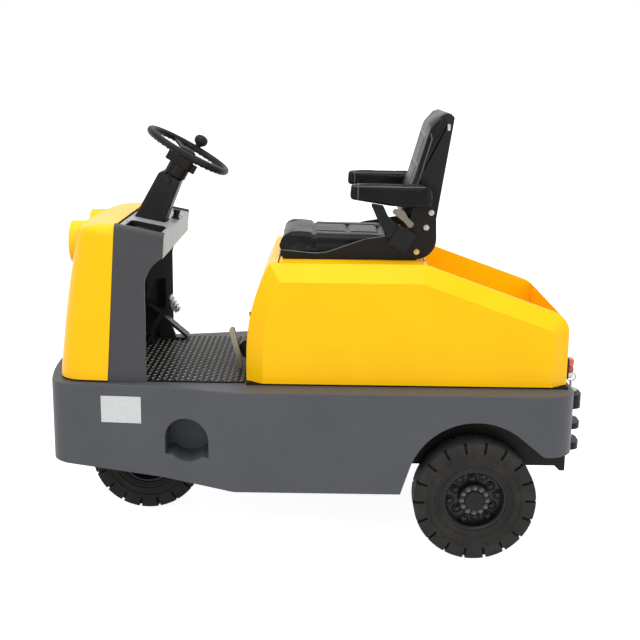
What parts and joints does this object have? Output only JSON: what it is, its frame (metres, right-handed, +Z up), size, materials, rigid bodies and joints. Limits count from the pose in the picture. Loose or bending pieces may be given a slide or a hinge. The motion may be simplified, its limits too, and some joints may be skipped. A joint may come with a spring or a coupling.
{
  "type": "electric tow tractor",
  "caption": "Three-wheeled electric tow tractor with a sit-on seat, grey ballast chassis, yellow hoods, steering column, rear load tray and pin coupling for pulling trailers.",
  "frame": {"origin": "ground level under the middle of the overall length and width", "axes": "+X forward towards the steered wheel, +Y to the driver's left, +Z up"},
  "size_m": [2.17, 1.06, 1.6704],
  "materials": {
    "chassis_paint": "satin dark grey paint",
    "body_paint": "gloss yellow paint",
    "black_steel": "black powder coat",
    "tray_grey": "light grey satin paint",
    "tread_plate": "worn black tread plate",
    "tyre_rubber": "matt rubber",
    "black_plastic": "moulded black plastic",
    "vinyl": "black vinyl upholstery",
    "lamp_lens": "clear lens",
    "tail_lens": "red and amber lens",
    "battery_case": "grey battery case",
    "bare_steel": "bare steel",
    "black_rubber": "black rubber",
    "cast": "black cast iron"
  },
  "bodies": {
    "chassis": {"chassis_side_left": "chassis_paint", "chassis_side_right": "chassis_paint", "chassis_nose": "chassis_paint", "chassis_tail": "chassis_paint", "chassis_deck": "chassis_paint", "step_pockets": "chassis_paint", "wheel_houses": "black_steel", "belly_plate": "black_steel", "body_seals": "black_rubber", "steering_bed": "black_steel", "battery": "battery_case", "body_sides": "body_paint", "body_front": "body_paint", "body_tail": "body_paint", "load_tray": "body_paint", "lid_ledge": "body_paint", "tail_lamps": "tail_lens", "floor_plate": "tread_plate", "front_hood": "body_paint", "headlamps": "lamp_lens", "console_panels": "chassis_paint", "console_tray": "tray_grey", "console_frame": "black_steel", "column_shroud": "black_plastic", "column_tube": "black_steel", "pedals": "bare_steel", "parking_lever": "bare_steel", "front_fittings": "black_rubber", "rear_axle": "cast", "drive_motor": "black_steel", "tow_coupling": "black_steel", "tow_pin": "bare_steel", "slewing_ring": "bare_steel"},
    "steering_fork": {"steering_fork": "black_steel", "front_axle": "bare_steel"},
    "front_wheel": {"front_tyre": "tyre_rubber", "front_rim": "black_steel"},
    "rear_wheel_left": {"rear_tyre_left": "tyre_rubber", "rear_rim_left": "black_steel", "rear_hub_left": "cast"},
    "rear_wheel_right": {"rear_tyre_right": "tyre_rubber", "rear_rim_right": "black_steel", "rear_hub_right": "cast"},
    "steering_wheel": {"steering_wheel": "black_plastic", "spinner_knob": "black_plastic"},
    "seat_lid": {"seat_lid": "body_paint", "seat_frame": "black_steel", "seat_cushion": "vinyl", "seat_backrest": "vinyl", "seat_back_shell": "black_plastic", "belt_reel": "black_plastic", "belt_buckle": "black_plastic"},
    "armrest_left": {"armrest_left": "vinyl"},
    "armrest_right": {"armrest_right": "vinyl"}
  },
  "joints": [
    {"name": "steer", "type": "hinge", "parent": "chassis", "child": "steering_fork", "pos_m": [0.73, 0, 0.54], "axis": [0, 0, 1], "range_deg": [-80, 80]},
    {"name": "front_wheel_spin", "type": "hinge", "parent": "steering_fork", "child": "front_wheel", "pos_m": [0.73, 0, 0.2335], "axis": [0, 1, 0], "continuous": true},
    {"name": "rear_wheel_left_spin", "type": "hinge", "parent": "chassis", "child": "rear_wheel_left", "pos_m": [-0.59, 0.4665, 0.2335], "axis": [0, 1, 0], "continuous": true},
    {"name": "rear_wheel_right_spin", "type": "hinge", "parent": "chassis", "child": "rear_wheel_right", "pos_m": [-0.59, -0.4665, 0.2335], "axis": [0, 1, 0], "continuous": true},
    {"name": "steering_wheel_turn", "type": "hinge", "parent": "chassis", "child": "steering_wheel", "pos_m": [0.54697, 0, 1.506], "axis": [-0.4909, 0, 0.8712], "range_deg": [-720, 720]},
    {"name": "seat_lid_hinge", "type": "hinge", "parent": "chassis", "child": "seat_lid", "pos_m": [-0.39, 0, 1.096], "axis": [0, -1, 0], "range_deg": [0, 60]},
    {"name": "armrest_left_hinge", "type": "hinge", "parent": "seat_lid", "child": "armrest_left", "pos_m": [-0.385, 0.289, 1.368], "axis": [0, -1, 0], "range_deg": [0, 90]},
    {"name": "armrest_right_hinge", "type": "hinge", "parent": "seat_lid", "child": "armrest_right", "pos_m": [-0.385, -0.289, 1.368], "axis": [0, -1, 0], "range_deg": [0, 90]}
  ],
  "couplings": [
    {"joint": "steering_wheel_turn", "follows": "steer", "ratio": 9}
  ]
}
